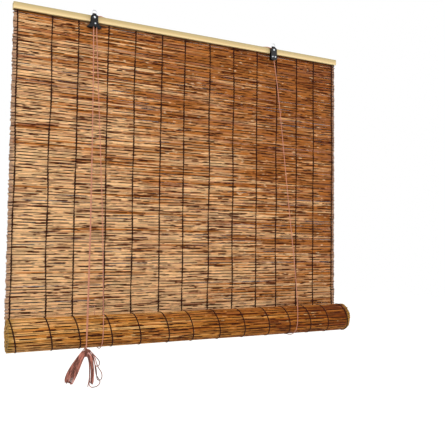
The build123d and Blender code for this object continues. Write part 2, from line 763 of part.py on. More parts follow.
left_route = [
    (left_anchor_x, anchor_y, batten_top),
    left_behind,
    *loop_under_coil(left_back_x, left_front_x, left_groove_y, left_foot_z),
    *long_run((left_front_x, front_y, coil_z), left_guide, left_bows),
    left_guide,
    *over_wheel(left_cage_x, left_groove_y, 0.0, lock_angle, wheel_corners),
    (lock_exit_x, left_groove_y, lock_bend_z),
    (lock_exit_x, left_groove_y, left_foot_z),
]
right_side_angle = tangent_angle((right_cage_x, axle_z), wheel_cord_radius, (right_guide_x, guide_pin_z), 1)
cross_z = batten_top + cord_radius + cross_clearance
cross_y = batten_front_y + batten_thickness / 2
wheel_top_z = axle_z + wheel_cord_radius
cross_edge = batten_front_y - cross_edge_y
near_step, edge_step, top_step = [share * cross_step for share in cross_shares]
right_route = [
    (right_anchor_x, anchor_y, batten_top),
    right_behind,
    *long_run(right_behind, (right_back_x, coil_y + loop_radius, coil_z), right_back_bows),
    *loop_under_coil(right_back_x, right_front_x, right_groove_y, right_foot_z),
    *long_run((right_front_x, front_y, coil_z), right_guide, right_bows),
    right_guide,
    *over_wheel(right_cage_x, right_groove_y, right_side_angle, 90.0, wheel_corners // 2),
    (right_cage_x - near_step, cross_entry_y, wheel_top_z),
    (right_cage_x - edge_step, cross_edge, cross_z),
    (right_cage_x - top_step, cross_y, cross_z),
    (left_cage_x + top_step, cross_y + cross_drift, cross_z),
    (left_cage_x + edge_step, cross_edge, cross_z),
    (left_cage_x + near_step, cross_entry_y, wheel_top_z),
    *over_wheel(left_cage_x, right_groove_y, 90.0, lock_angle, wheel_corners // 2),
    (lock_exit_x, right_groove_y, lock_bend_z),
    (lock_exit_x, right_groove_y, left_foot_z),
]
cord_tube(left_route, "left_lift_cord")
cord_tube(right_route, "right_lift_cord")

# Knots that hold the two lift cords above the back batten
for knot_x, name in ((left_anchor_x, "left_anchor_knot"), (right_anchor_x, "right_anchor_knot")):
    with BuildPart() as knot:
        with BuildSketch(Plane.XZ.offset(-anchor_y)):
            with BuildLine():
                Polyline(
                    (knot_x, batten_top),
                    *[
                        (knot_x + out * knot_radius, batten_top + up * knot_radius)
                        for out, up in knot_outline
                    ],
                    close=True,
                )
            make_face()
        revolve(axis=Axis((knot_x, anchor_y, batten_top), (0, 0, 1)))
    keep(knot.part, name)

# Pull cords: both hang from the lock, side by side, over the front of the coil
pull_y = front_y - pull_clearance
hank_top_z = coil_z - hank_drop
hank_x = pull_x + hank_offset
for side, name in ((-1, "pull_cord_front"), (1, "pull_cord_rear")):
    pull_top = (lock_exit_x, side * groove_offset, left_foot_z - cord_end_clearance)
    pull_low = (pull_x + side * pull_spacing / 2, pull_y, coil_z)
    pull_route = [
        pull_top,
        *long_run(pull_top, pull_low, pull_bows),
        pull_low,
        (hank_x + side * pull_spacing / 2, pull_y, hank_top_z + cord_end_clearance),
    ]
    cord_tube(pull_route, name)


# Hank: the rest of the pull cords in long loops, which hang in two lobes from a tie round their neck
def hank_section(x, z, half_width, half_depth, along):
    """A many-sided section of the hank, square to the way that it runs."""
    half_side = math.pi / hank_sides
    with BuildSketch(Plane(origin=(x, pull_y, z), x_dir=(-along.Z, 0, along.X), z_dir=along)) as section:
        with BuildLine():
            corners = [half_side * (2 * corner + 1) for corner in range(hank_sides)]
            Polyline(*[(half_width * math.cos(a), half_depth * math.sin(a)) for a in corners], close=True)
        make_face()
    return section.sketch


def lobe(given, side):
    """One lobe of the hank, from the end of its neck through the given sections."""
    way_out = Vector(side, 0, 0)
    places = [(hank_x + side * neck_half_length, neck_z, neck_half_width, neck_half_depth)]
    places += [(places[0][0] + x, neck_z - z, w, d) for x, z, w, d in given]
    sections = [hank_section(*places[0], way_out)]
    for before, place, after in zip(places, places[1:], places[2:] + places[-1:]):
        along = Vector(after[0] - before[0], 0, after[1] - before[1]).normalized()
        sections.append(hank_section(*place, along))
    loft(sections, ruled=True)


tie_wall = cord_diameter / 2
flat_share = math.cos(math.pi / hank_sides)
neck_z = hank_top_z - (neck_half_width + tie_wall) * flat_share
rightwards = Vector(1, 0, 0)
with BuildPart() as cord_hank:
    neck = hank_section(hank_x - neck_half_length, neck_z, neck_half_width, neck_half_depth, rightwards)
    extrude(neck, amount=2 * neck_half_length)
    lobe(left_lobe, -1)
    lobe(right_lobe, 1)
keep(cord_hank.part, "cord_hank")
print("hank", cord_hank.part.volume, len(cord_hank.part.solids()))

# Tie: the end of a cord, wound round the neck
tie_x = hank_x - tie_width / 2
with BuildPart() as hank_tie:
    outside = hank_section(tie_x, neck_z, neck_half_width + tie_wall, neck_half_depth + tie_wall, rightwards)
    extrude(outside, amount=tie_width)
    inside = hank_section(tie_x, neck_z, neck_half_width, neck_half_depth, rightwards)
    extrude(inside, amount=tie_width, mode=Mode.SUBTRACT)
keep(hank_tie.part, "hank_tie")
print("tie", hank_tie.part.volume, len(hank_tie.part.solids()))
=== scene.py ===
import math
import random

import bpy
import numpy as np
from mathutils import Matrix, Vector


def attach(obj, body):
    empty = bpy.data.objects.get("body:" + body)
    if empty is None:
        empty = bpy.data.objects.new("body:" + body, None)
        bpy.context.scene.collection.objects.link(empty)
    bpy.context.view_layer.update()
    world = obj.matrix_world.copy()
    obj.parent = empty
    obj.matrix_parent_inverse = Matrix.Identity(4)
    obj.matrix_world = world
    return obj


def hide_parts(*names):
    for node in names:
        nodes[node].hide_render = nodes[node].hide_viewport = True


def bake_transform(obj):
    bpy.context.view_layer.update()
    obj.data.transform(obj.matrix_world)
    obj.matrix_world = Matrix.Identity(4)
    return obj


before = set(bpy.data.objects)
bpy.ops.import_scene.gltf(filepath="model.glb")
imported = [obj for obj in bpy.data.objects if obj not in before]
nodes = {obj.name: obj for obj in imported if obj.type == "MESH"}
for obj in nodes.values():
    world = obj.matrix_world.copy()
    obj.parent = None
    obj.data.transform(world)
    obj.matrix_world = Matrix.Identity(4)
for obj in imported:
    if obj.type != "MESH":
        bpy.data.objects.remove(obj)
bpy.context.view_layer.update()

mm = 0.001
print("stage 1: the frame is in, with", len(nodes), "nodes")


# Camera: stands left of the middle, below the headrail, and looks to the right
camera = {
    "place": (-0.8417, -1.8481, -0.7285),
    "lens": 48.54,
    "sensor": 36.0,
    "yaw": 27.15,      # degrees from +Y towards +X
    "pitch": 2.97,
    "roll": 0.6,
}


def aimCamera(given):
    yaw, pitch, roll = (math.radians(given[key]) for key in ("yaw", "pitch", "roll"))
    level = math.cos(pitch)
    forward = Vector((math.sin(yaw) * level, math.cos(yaw) * level, math.sin(pitch)))
    right = Vector((math.cos(yaw), -math.sin(yaw), 0))
    up = right.cross(forward)
    rolledRight = right * math.cos(roll) + up * math.sin(roll)
    rolledUp = up * math.cos(roll) - right * math.sin(roll)
    turn = Matrix((rolledRight, rolledUp, -forward)).transposed().to_4x4()
    data = bpy.data.cameras.new("camera")
    data.lens = given["lens"]
    data.sensor_width = given["sensor"]
    data.clip_start = 0.01
    data.clip_end = 50
    holder = bpy.data.objects.new("camera", data)
    holder.matrix_world = Matrix.Translation(given["place"]) @ turn
    bpy.context.scene.collection.objects.link(holder)
    bpy.context.scene.camera = holder


aimCamera(camera)
print("stage 2: the camera stands")


# Small helpers for shaders
def linear(hexColour):
    channels = [int(hexColour[i:i + 2], 16) / 255 for i in (1, 3, 5)]
    return [c / 12.92 if c <= 0.04045 else ((c + 0.055) / 1.055) ** 2.4 for c in channels] + [1.0]


# Adds a node with its settings; inputs are values or sockets to link, by name or number
def addNode(tree, kind, inputs=None, **settings):
    node = tree.nodes.new(kind)
    for name, value in settings.items():
        setattr(node, name, value)
    for key, value in (inputs or {}).items():
        if isinstance(value, bpy.types.NodeSocket):
            tree.links.new(value, node.inputs[key])
        else:
            node.inputs[key].default_value = value
    return node


def setRamp(node, stops):
    ramp = node.color_ramp
    while len(ramp.elements) < len(stops):
        ramp.elements.new(0.5)
    for element, (place, colour) in zip(ramp.elements, stops):
        element.position = place
        element.color = linear(colour)


def newMaterial(name):
    material = bpy.data.materials.new(name)
    material.use_nodes = True
    material.node_tree.nodes.clear()
    return material, material.node_tree


def finishMaterial(tree, inputs):
    surface = addNode(tree, "ShaderNodeBsdfPrincipled", inputs)
    addNode(tree, "ShaderNodeOutputMaterial", {"Surface": surface.outputs[0]})


# Stained reed: split, dyed and left unvarnished, so it is nearly matt and streaked along the grain; painted
# shade darkens it where two bundles meet, with a painted highlight along each crest and a painted shadow
# under the batten
reedFinish = {
    # Painted shade for the grooves between reeds
    "streak": "#5A2203",
    "groove": "#220600",
    "cut": "#E6C384",
    "streakLength": 62,      # mm
    "grooveLength": 58,      # mm
    "patchWidth": 210,       # mm
    "patchReeds": 6,
    "grainLength": 14,       # mm
    "roughness": 0.62,
    "specular": 0.1,
    "battenShadow": 0.3,      # painted shadow: how much of the colour is left right under the batten
    "battenRows": (4.0, 5.7),        # reeds from the top between which that shade ends
    # Scales of the noises: to a metre along the reed, to a reed across, and to half a turn round it
    "toneScale": (2.1, 7.31, 0.0),
    "roseScale": (4.2, 3.17, 0.0),
    "streakAcross": (3.77, 1.6),
    "paleAcross": (5.13, 1.1),
    "paleFiner": 2.2,        # pale specks are this much shorter than streaks
    "grainAcross": (11.9, 14.0),
    "grooveAcross": (7.77, 0.0),
    # Where a noise begins to show and where it shows in full, and then how strongly
    "toneLimits": (0.80, 1.46),
    "roseLimits": (0.52, 0.66),
    "streakLimits": (0.568, 0.605),
    "streakMost": 0.94,
    "paleWidth": 0.045,
    "paleMost": 0.8,
    "grooveLimits": (0.466, 0.512),
    "grooveLeast": 0.08,
    "grooveDepth": 0.39,     # how far from the crest to the groove the painted shade reaches its full dark
    "patchRange": (0.79, 0.21),
    "grainLimits": (0.3, 0.7),
    "grainLight": (1.12, 0.84),
    "crestTo": 0.6,
    "crestHighlight": (0.90, 1.14),      # painted highlight along its crest, with painted shade towards its sides
    "endLimits": (0.583, 0.592),     # metres from the middle, where the end's own tone begins
    "endMost": 0.7,
    "bump": 0.35,
    "bumpDepth": 0.4 * mm,
}
rampPlaces = (0.0, 0.33, 0.66, 1.0)
reedTones = {
    "flat": {
        "ramp": ["#844218", "#AC662D", "#C27835", "#FFCE96"], "rose": "#AE765A", "roseMost": 0.6,
        "pale": "#F8D2A2", "paleFrom": 0.65, "end": "#C9A48A", "leftFade": 0.33, "downFade": 0.34,
    },
    "coiled": {
        "ramp": ["#74330A", "#B26822", "#DA9444", "#FFCA84"], "rose": "#A8633F", "roseMost": 0.4,
        "pale": "#F2C489", "paleFrom": 0.68, "end": "#D2A24E", "leftFade": 0.42, "downFade": -0.08,
    },
}


def stainedReed(name, finish, tones):
    material, tree = newMaterial(name)
    place = addNode(tree, "ShaderNodeAttribute", attribute_name="reedPlace").outputs["Vector"]
    border = addNode(tree, "ShaderNodeAttribute", attribute_name="border").outputs["Vector"]

    def noiseAt(where, scale, detail, rough=0.5):
        at = addNode(tree, "ShaderNodeVectorMath", {0: where, 1: scale}, operation="MULTIPLY")
        noise = addNode(tree, "ShaderNodeTexNoise",
                        {"Vector": at.outputs[0], "Scale": 1.0, "Detail": detail, "Roughness": rough})
        return noise.outputs["Fac"]

    def shareOf(value, low, high, most=1.0, least=0.0):
        spread = addNode(tree, "ShaderNodeMapRange", {"Value": value, "From Min": low, "From Max": high,
                                                      "To Min": least, "To Max": most})
        return spread.outputs[0]

    def mixed(share, first, second):
        return addNode(tree, "ShaderNodeMix", {0: share, 6: first, 7: second}, data_type="RGBA").outputs[2]

    def reckon(operation, first, second):
        return addNode(tree, "ShaderNodeMath", {0: first, 1: second}, operation=operation).outputs[0]

    perStreak, perGroove = 1000 / finish["streakLength"], 1000 / finish["grooveLength"]
    split = addNode(tree, "ShaderNodeSeparateXYZ", {0: place})
    halfWidth = mat["width"] / 2
    leftward = shareOf(split.outputs[0], halfWidth, -halfWidth)
    downward = shareOf(split.outputs[1], 0.0, 2 * mat["bundles"])
    tone = noiseAt(place, finish["toneScale"], 1.0)
    patch = noiseAt(place, (1000 / finish["patchWidth"], 1 / finish["patchReeds"], 0.0), 2.0)
    faded = reckon("ADD", reckon("MULTIPLY", leftward, tones["leftFade"]),
                   reckon("MULTIPLY", downward, tones["downFade"]))
    both = reckon("ADD", reckon("ADD", tone, shareOf(patch, 0.0, 1.0, *finish["patchRange"])), faded)
    ramp = addNode(tree, "ShaderNodeValToRGB", {"Fac": shareOf(both, *finish["toneLimits"])})
    setRamp(ramp, list(zip(rampPlaces, tones["ramp"])))
    rose = shareOf(noiseAt(place, finish["roseScale"], 1.5), *finish["roseLimits"], tones["roseMost"])
    streak = shareOf(noiseAt(place, (perStreak, *finish["streakAcross"]), 2.5, 0.6),
                     *finish["streakLimits"], finish["streakMost"])
    pale = shareOf(noiseAt(place, (perStreak * finish["paleFiner"], *finish["paleAcross"]), 1.5),
                   tones["paleFrom"], tones["paleFrom"] + finish["paleWidth"], finish["paleMost"])
    grain = noiseAt(place, (1000 / finish["grainLength"], *finish["grainAcross"]), 3.0, 0.6)
    dyed = mixed(rose, ramp.outputs[0], linear(tones["rose"]))
    dyed = mixed(pale, dyed, linear(tones["pale"]))
    dyed = mixed(streak, dyed, linear(finish["streak"]))
    outward = addNode(tree, "ShaderNodeMath", {0: split.outputs[0]}, operation="ABSOLUTE").outputs[0]
    dyed = mixed(shareOf(outward, *finish["endLimits"], finish["endMost"]), dyed, linear(tones["end"]))
    borderSplit = addNode(tree, "ShaderNodeSeparateXYZ", {0: border})
    # Painted highlight along each crest, and painted shade towards the sides of the reed
    crest = shareOf(borderSplit.outputs[2], 0.0, finish["crestTo"], *finish["crestHighlight"])
    light = reckon("MULTIPLY", shareOf(grain, *finish["grainLimits"], *finish["grainLight"]), crest)
    # Painted shadow on the first reeds right under the batten
    underBattenShadow = shareOf(split.outputs[1], *finish["battenRows"], 1.0, finish["battenShadow"])
    light = reckon("MULTIPLY", light, underBattenShadow)
    grained = addNode(tree, "ShaderNodeVectorMath", {0: dyed, "Scale": light}, operation="SCALE").outputs[0]
    # Painted shade in the grooves, darkest where two bundles meet, in runs along the reeds
    depth = shareOf(borderSplit.outputs[2], 0.0, finish["grooveDepth"])
    runs = shareOf(noiseAt(border, (perGroove, *finish["grooveAcross"]), 1.5),
                   *finish["grooveLimits"], 1.0, finish["grooveLeast"])
    grooved = mixed(reckon("MULTIPLY", depth, runs), grained, linear(finish["groove"]))
    cut = addNode(tree, "ShaderNodeAttribute", attribute_name="cut").outputs["Fac"]
    colour = mixed(cut, grooved, linear(finish["cut"]))
    bump = addNode(tree, "ShaderNodeBump",
                   {"Height": grain, "Strength": finish["bump"], "Distance": finish["bumpDepth"]})
    finishMaterial(tree, {"Base Color": colour, "Roughness": finish["roughness"], "IOR": 1.5,
                          "Specular IOR Level": finish["specular"], "Normal": bump.outputs[0]})
    return material


# Mesh from arrays: four-sided faces, three-sided faces and values for the shaders
def meshPiece(name, points, quads, triangles, values, material):
    mesh = bpy.data.meshes.new(name)
    mesh.vertices.add(len(points))
    mesh.vertices.foreach_set("co", np.asarray(points, np.float32).ravel())
    loops = np.concatenate([np.asarray(quads, np.int32).ravel(), np.asarray(triangles, np.int32).ravel()])
    starts = np.concatenate([np.arange(len(quads)) * 4, len(quads) * 4 + np.arange(len(triangles)) * 3])
    mesh.loops.add(len(loops))
    mesh.loops.foreach_set("vertex_index", loops)
    mesh.polygons.add(len(starts))
    mesh.polygons.foreach_set("loop_start", starts.astype(np.int32))
    mesh.update(calc_edges=True)
    for key, value in values.items():
        value = np.asarray(value, np.float32)
        kind = "FLOAT_VECTOR" if value.ndim == 2 else "FLOAT"
        attribute = mesh.attributes.new(key, kind, "POINT")
        attribute.data.foreach_set("vector" if value.ndim == 2 else "value", value.ravel())
    mesh.polygons.foreach_set("use_smooth", np.ones(len(starts), bool))
    mesh.materials.append(material)
    piece = bpy.data.objects.new(name, mesh)
    bpy.context.scene.collection.objects.link(piece)
    return piece


# Faces of many tubes that all have the same rings, closed at both ends
def tubeFaces(tubes, rings, sides):
    tube, ring, side = np.meshgrid(np.arange(tubes), np.arange(rings - 1), np.arange(sides), indexing="ij")
    after = (side + 1) % sides
    base = (tube * rings + ring) * sides
    corners = [base + side, base + after, base + sides + after, base + sides + side]
    quads = np.stack(corners, -1).reshape(-1, 4)
    first = tubes * rings * sides
    tube, side = np.meshgrid(np.arange(tubes), np.arange(sides), indexing="ij")
    after = (side + 1) % sides
    start = tube * rings * sides
    end = start + (rings - 1) * sides
    caps = np.concatenate([
        np.stack([first + tube * 2, start + after, start + side], -1).reshape(-1, 3),
        np.stack([first + tube * 2 + 1, end + side, end + after], -1).reshape(-1, 3),
    ])
    return quads, caps


# Reeds of the mat
mat = {
    "width": 1.2,
    "top": -0.014,
    "bundles": 103,
    "bottom": -1.001,
    "middleY": 0.0175,
    "aboveTop": 0.016,       # the bend begins above the mat, so that its folds stay clear of the raised roll
    "halfHeight": 2.56 * mm,
    "halfDepth": 2.38 * mm,
    "pairing": 0.14 * mm,    # how far the two reeds of a bundle lean together
    "uneven": 0.06 * mm,
    "innerGroove": 0.33,     # how dark the painted shade in the groove inside a bundle is beside the one between two
    "sway": 0.18 * mm,
    "endUneven": 3.5 * mm,
    "nodeGap": 0.19,         # from one swollen node of a reed to the next
    "nodeSwell": 0.10,
    "nodeLength": 0.012,
    "heightSpread": (-0.05, 0.07),
    "depthSpread": (-0.06, 0.05),
    "taper": 0.05,
    "phase": 6.28,
    "liftWaves": ((0.6, 9.1), (0.4, 23)),    # share, and radians to a metre
    "pushWaves": ((1.0, 7.7), (0.5, 19)),
    "push": 0.6,             # in and out against up and down
    "rings": 30,
    "sides": 8,
    "seed": 7,
}
coil = {
    "y": -0.0319993,
    "z": -1.001,
    "outerMiddle": 0.0494993,
    "turnPitch": 0.007,
    "reeds": 208,
}


def addWaves(x, waves, phases):
    return sum(share * np.sin(x * pace + phase) for (share, pace), phase in zip(waves, phases))


def reedBundle(name, places, outwards, alongs, firstIndex, material, seed, loose=1.0):
    count, rings, sides = len(places), mat["rings"], mat["sides"]
    chance = np.random.default_rng(seed)
    half = mat["width"] / 2
    x = np.linspace(-1, 1, rings)[None, :] * (half - chance.uniform(0, mat["endUneven"], (count, 1)))
    height = mat["halfHeight"] * (1 + chance.uniform(*mat["heightSpread"], (count, 1)))
    depth = mat["halfDepth"] * (1 + chance.uniform(*mat["depthSpread"], (count, 1)))
    taper = 1 + chance.uniform(-mat["taper"], mat["taper"], (count, 1)) * x / half
    nodePhase = chance.uniform(0, mat["nodeGap"], (count, 1))
    nearNode = np.abs((x + nodePhase) % mat["nodeGap"] - mat["nodeGap"] / 2)
    swell = 1 + mat["nodeSwell"] * np.exp(-(nearNode / mat["nodeLength"]) ** 2)
    waves = [chance.uniform(0, mat["phase"], (count, 1)) for _ in range(4)]
    lift = mat["uneven"] * chance.uniform(-1, 1, (count, 1))
    lift[0::2] -= mat["pairing"]
    lift[1::2] += mat["pairing"]
    lift = lift + loose * mat["sway"] * addWaves(x, mat["liftWaves"], waves[:2])
    push = mat["sway"] * mat["push"] * addWaves(x, mat["pushWaves"], waves[2:])
    angle = np.arange(sides) / sides * 2 * math.pi
    outShare = np.cos(angle)[None, None, :] * (depth * taper * swell)[:, :, None] + push[:, :, None]
    upShare = np.sin(angle)[None, None, :] * (height * taper * swell)[:, :, None] + lift[:, :, None]
    points = places[:, None, None, :] + outwards[:, None, None, :] * outShare[..., None]
    points = points + alongs[:, None, None, :] * upShare[..., None]
    points[..., 0] += x[:, :, None]
    place = np.zeros(points.shape)
    place[..., 0] = x[:, :, None]
    place[..., 1] = (firstIndex + np.arange(count))[:, None, None]
    place[..., 2] = np.abs(angle / math.pi - 1)[None, None, :]
    upper = np.sin(angle)[None, None, :] > 0
    odd = (np.arange(count) % 2 == 1)[:, None, None]
    # Where the painted groove shade falls: the side of a reed towards the next bundle, and less inside a
    # bundle
    border = np.zeros(points.shape)
    border[..., 0] = x[:, :, None]
    border[..., 1] = (firstIndex + np.arange(count))[:, None, None] + np.where(upper, 0, 1)
    border[..., 2] = np.abs(np.sin(angle))[None, None, :] * np.where(upper == odd, mat["innerGroove"], 1.0)
    ends = np.stack([points[:, 0].mean(1), points[:, -1].mean(1)], 1).reshape(-1, 3)
    endPlace = np.stack([place[:, 0].mean(1), place[:, -1].mean(1)], 1).reshape(-1, 3)
    quads, caps = tubeFaces(count, rings, sides)
    allPoints = np.concatenate([points.reshape(-1, 3), ends])
    values = {
        "reedPlace": np.concatenate([place.reshape(-1, 3), endPlace]),
        "border": np.concatenate([border.reshape(-1, 3), endPlace * (1, 1, 0)]),
        "cut": np.concatenate([np.zeros(points.size // 3), np.ones(len(ends))]),
    }
    return meshPiece(name, allPoints, quads, caps, values, material)


flatReed = stainedReed("stained split reed, faded", reedFinish, reedTones["flat"])
coiledReed = stainedReed("stained split reed, unfaded", reedFinish, reedTones["coiled"])
reedCount = 2 * mat["bundles"]
reedPitch = (mat["top"] - mat["bottom"]) / reedCount
flatPlaces = np.zeros((reedCount, 3))
flatPlaces[:, 1] = mat["middleY"]
flatPlaces[:, 2] = mat["top"] - (np.arange(reedCount) + 0.5) * reedPitch
flatReeds = reedBundle("flat_reeds", flatPlaces, np.tile([0.0, -1.0, 0.0], (reedCount, 1)),
                       np.tile([0.0, 0.0, 1.0], (reedCount, 1)), 0, flatReed, mat["seed"])
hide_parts("flat_mat")
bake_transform(flatReeds)


# The coil is one spiral, from the back of the roll downwards
def coilRadius(turned):
    return coil["outerMiddle"] - coil["turnPitch"] * turned / (2 * math.pi)


coilTurned = [reedPitch / 2 / coil["outerMiddle"]]
while len(coilTurned) < coil["reeds"]:
    coilTurned.append(coilTurned[-1] + reedPitch / coilRadius(coilTurned[-1]))
coilTurned = np.array(coilTurned)
coilOutwards = np.stack([0 * coilTurned, np.cos(coilTurned), -np.sin(coilTurned)], 1)
coilAlongs = np.stack([0 * coilTurned, np.sin(coilTurned), np.cos(coilTurned)], 1)
coilPlaces = coilOutwards * coilRadius(coilTurned)[:, None] + np.array([0, coil["y"], coil["z"]])
coilReeds = reedBundle("coiled_reeds", coilPlaces, coilOutwards, coilAlongs, reedCount, coiledReed,
                       mat["seed"] + 1, 2.0)
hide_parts("mat_coil")
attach(coilReeds, "roll")
print("stage 3: reeds", reedCount, "flat and", len(coilTurned), "coiled")


# A tube that follows points, with its own length and turn given to the shaders
def followTube(points, radius, sides, flatness):
    points = np.asarray(points, float)
    steps = np.diff(points, axis=0)
    lengths = np.linalg.norm(steps, axis=1)
    along = np.concatenate([[0], np.cumsum(lengths)])
    unit = steps / lengths[:, None]
    tangents = np.concatenate([unit[:1], unit[:-1] + unit[1:], unit[-1:]])
    tangents /= np.linalg.norm(tangents, axis=1)[:, None]
    side = np.array([1.0, 0.0, 0.0])
    rows = []
    for tangent in tangents:
        side = side - tangent * np.dot(side, tangent)
        side = side / np.linalg.norm(side)
        rows.append((side, np.cross(tangent, side)))
    rows = np.array(rows)
    angle = np.arange(sides) / sides * 2 * math.pi
    ring = rows[:, :1] * np.cos(angle)[None, :, None] + rows[:, 1:] * np.sin(angle)[None, :, None] * flatness
    place = np.zeros((len(points), sides, 3))
    place[..., 0] = along[:, None]
    place[..., 1] = angle / (2 * math.pi)
    return points[:, None] + ring * radius, place


def tubePiece(name, paths, radius, sides, material, flatness=1.0):
    allPoints, allPlaces, allQuads, allCaps, first = [], [], [], [], 0
    for number, path in enumerate(paths):
        points, place = followTube(path, radius, sides, flatness)
        place[..., 2] = number
        rings = len(points)
        quads, caps = tubeFaces(1, rings, sides)
        ends = np.stack([points[0].mean(0), points[-1].mean(0)])
        endPlace = np.stack([place[0].mean(0), place[-1].mean(0)])
        allPoints += [points.reshape(-1, 3), ends]
        allPlaces += [place.reshape(-1, 3), endPlace]
        allQuads.append(quads + first)
        allCaps.append(caps + first)
        first += rings * sides + 2
    return meshPiece(name, np.concatenate(allPoints), np.concatenate(allQuads), np.concatenate(allCaps),
                     {"strandPlace": np.concatenate(allPlaces)}, material)


# Spun string: dark, matt and twisted, so that light catches only its fine turns
stringFinish = {
    "colour": "#1C0701",
    "light": "#3A160A",
    "twist": 3.2,            # mm for each turn
    "roughness": 0.85,
    "specular": 0.2,
    "bump": 0.6,
    "bumpDepth": 0.3 * mm,
}


def spunString(name, finish):
    material, tree = newMaterial(name)
    place = addNode(tree, "ShaderNodeAttribute", attribute_name="strandPlace").outputs["Vector"]
    split = addNode(tree, "ShaderNodeSeparateXYZ", {0: place})
    turns = addNode(tree, "ShaderNodeMath",
                    {0: split.outputs[0], 1: 1000 / finish["twist"], 2: split.outputs[1]},
                    operation="MULTIPLY_ADD")
    angle = addNode(tree, "ShaderNodeMath", {0: turns.outputs[0], 1: 2 * math.pi}, operation="MULTIPLY")
    wave = addNode(tree, "ShaderNodeMath", {0: angle.outputs[0]}, operation="SINE")
    share = addNode(tree, "ShaderNodeMapRange", {"Value": wave.outputs[0], "From Min": -1.0})
    colour = addNode(tree, "ShaderNodeMix",
                     {0: share.outputs[0], 6: linear(finish["colour"]), 7: linear(finish["light"])},
                     data_type="RGBA")
    bump = addNode(tree, "ShaderNodeBump", {"Height": share.outputs[0], "Strength": finish["bump"],
                                            "Distance": finish["bumpDepth"]})
    finishMaterial(tree, {"Base Color": colour.outputs[2], "Roughness": finish["roughness"], "IOR": 1.5,
                          "Specular IOR Level": finish["specular"], "Normal": bump.outputs[0]})
    return material


strings = {
    "x": [-0.585, -0.484, -0.402, -0.305, -0.215, -0.121, -0.037,
          0.059, 0.153, 0.249, 0.333, 0.421, 0.498, 0.585],
    "halfWidth": 2.4 * mm,
    "coilHalfWidth": 1.9 * mm,
    "flatness": 0.44,        # pulled tight, a strand spreads on the reeds
    "reach": 3.25 * mm,      # from the middle of the mat to the middle of a strand
    "sway": 0.9 * mm,
    "wander": 1.9 * mm,
    "wanderPaces": (7, 19),  # radians to a metre
    "wanderPhase": 3,
    "wanderEnd": 0.1,        # metres above the mat's end over which the wander fades out
    "reachCut": 1.7,         # above 1, so that a strand lies flat on a bundle before it turns in
    "stepsPerBundle": 6,
    "sides": 6,
    "coilLean": 12.0,        # degrees
    "coilEnd": 334.0,        # degrees
    "coilStep": 0.035,       # radians
    "coilLift": 3.2 * mm,    # from the middle of the mat to the middle of the string outside it
    "coilDip": 0.7 * mm,
}


def twinedPair(x, seed):
    chance = random.Random(seed)
    bundlePitch = 2 * reedPitch
    count = mat["bundles"] * strings["stepsPerBundle"]
    drift = [chance.uniform(-1, 1) for _ in range(4)]
    pair = [[], []]
    for step in range(2, count + 1):
        down = step / strings["stepsPerBundle"]
        z = mat["top"] - down * bundlePitch
        turned = math.pi * (down - 0.5)
        reach = strings["reach"] * max(-1, min(1, strings["reachCut"] * math.cos(turned)))
        slow, fast = (size * math.sin(z * pace + phase * strings["wanderPhase"])
                      for pace, size, phase in zip(strings["wanderPaces"], drift[0::2], drift[1::2]))
        wander = strings["wander"] * (slow + fast)
        wander *= max(0.0, min(1.0, (z - mat["bottom"]) / strings["wanderEnd"]))
        for side, path in zip((-1, 1), pair):
            across = x + wander + side * strings["sway"] * math.sin(turned)
            path.append((across, mat["middleY"] + side * reach, z))
    return pair


def coilString(x):
    lean = math.tan(math.radians(strings["coilLean"]))
    path = []
    for turned in np.arange(0, math.radians(strings["coilEnd"]), strings["coilStep"]):
        bundle = turned * coil["outerMiddle"] / reedPitch / 2
        radius = coilRadius(turned) + strings["coilLift"]
        radius -= strings["coilDip"] * (0.5 + 0.5 * math.cos(2 * math.pi * bundle))
        y = coil["y"] + radius * math.cos(turned)
        z = coil["z"] - radius * math.sin(turned)
        path.append((x - (z - coil["z"]) * lean, y, z))
    return path


stringMaterial = spunString("spun dyed string", stringFinish)
for number, x in enumerate(strings["x"], 1):
    pair = tubePiece(f"twined_pair_{number:02d}", twinedPair(x, number), strings["halfWidth"],
                     strings["sides"], stringMaterial, strings["flatness"])
    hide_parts(f"warp_string_{number:02d}")
    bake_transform(pair)
    ring = tubePiece(f"coil_string_{number:02d}", [coilString(x)], strings["coilHalfWidth"], strings["sides"],
                     stringMaterial, strings["flatness"])
    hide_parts(f"string_ring_{number:02d}")
    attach(ring, "roll")
print("stage 4: strings on", len(strings["x"]), "lines")


# Braided cord: soft cotton braid, so it is matt with a fine herringbone
cordFinish = {
    "colour": "#E09F84",
    "shade": "#B9735A",
    "hank": "#3C0E0C",       # painted shade where it is wound up into the hank
    "hankLight": "#CC8070",
    "hankShadeWidth": 9,         # mm
    "hankShadeLength": 60,       # mm
    "strand": 2.2,           # mm from one crossing of the braid to the next
    "strandsAround": 5,
    "hankShadeShift": 2.2,       # how far the painted shade's noise moves on for each metre of cord
    "hankShadeLimits": (0.43, 0.58),
    "woundMost": 0.85,
    "roughness": 0.8,
    "bump": 0.5,
    "bumpDepth": 0.3 * mm,
}


